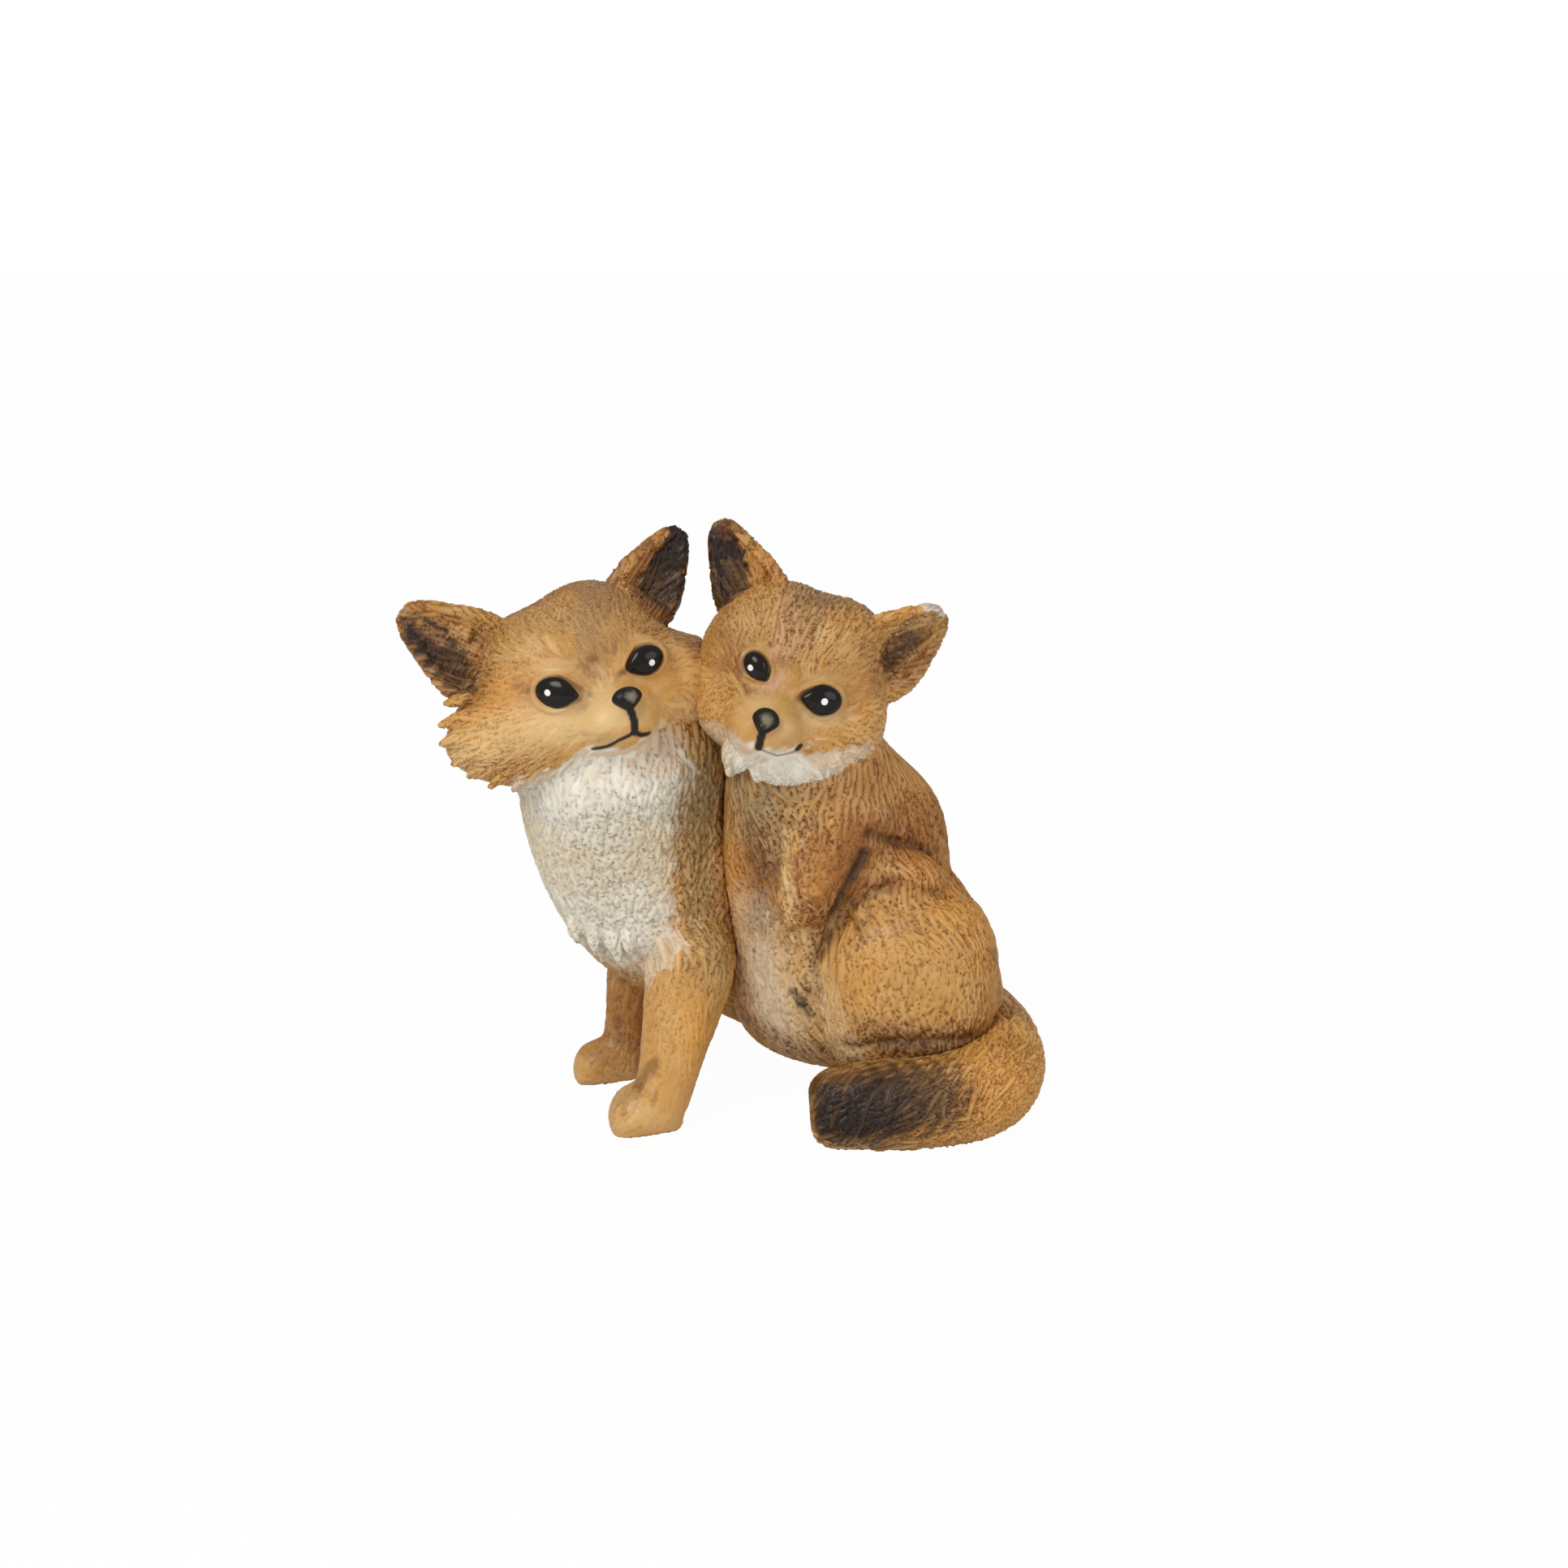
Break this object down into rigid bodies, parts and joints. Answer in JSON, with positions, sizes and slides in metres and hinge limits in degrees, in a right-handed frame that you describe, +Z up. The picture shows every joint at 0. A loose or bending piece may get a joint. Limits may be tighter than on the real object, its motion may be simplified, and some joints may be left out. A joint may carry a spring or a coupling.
{
  "type": "fox figurine",
  "caption": "Two fox cubs sitting cheek to cheek, a small painted cast ornament that stands free on a shelf.",
  "frame": {"origin": "on the ground under the middle of the pair", "axes": "+X to the viewer's right, -Y the way the cubs look, +Z up"},
  "size_m": [0.0985, 0.0612, 0.0933],
  "materials": {
    "painted_resin": "cast polyresin, airbrushed and dry-brushed in cream, golden orange and dark brown",
    "gloss_black": "gloss black lacquer on the eyes and noses"
  },
  "bodies": {
    "root": {"left_cub_body": "painted_resin", "left_cub_head": "painted_resin", "left_cub_right_ear": "painted_resin", "left_cub_left_ear": "painted_resin", "left_cub_right_eye": "gloss_black", "left_cub_left_eye": "gloss_black", "left_cub_nose": "gloss_black", "left_cub_left_foreleg": "painted_resin", "left_cub_right_foreleg": "painted_resin", "left_cub_haunch": "painted_resin", "left_cub_tail": "painted_resin", "right_cub_body": "painted_resin", "right_cub_head": "painted_resin", "right_cub_right_ear": "painted_resin", "right_cub_left_ear": "painted_resin", "right_cub_right_eye": "gloss_black", "right_cub_left_eye": "gloss_black", "right_cub_nose": "gloss_black", "right_cub_left_foreleg": "painted_resin", "right_cub_haunch": "painted_resin", "right_cub_hind_paw": "painted_resin", "right_cub_far_haunch": "painted_resin", "right_cub_tail": "painted_resin"}
  },
  "joints": []
}
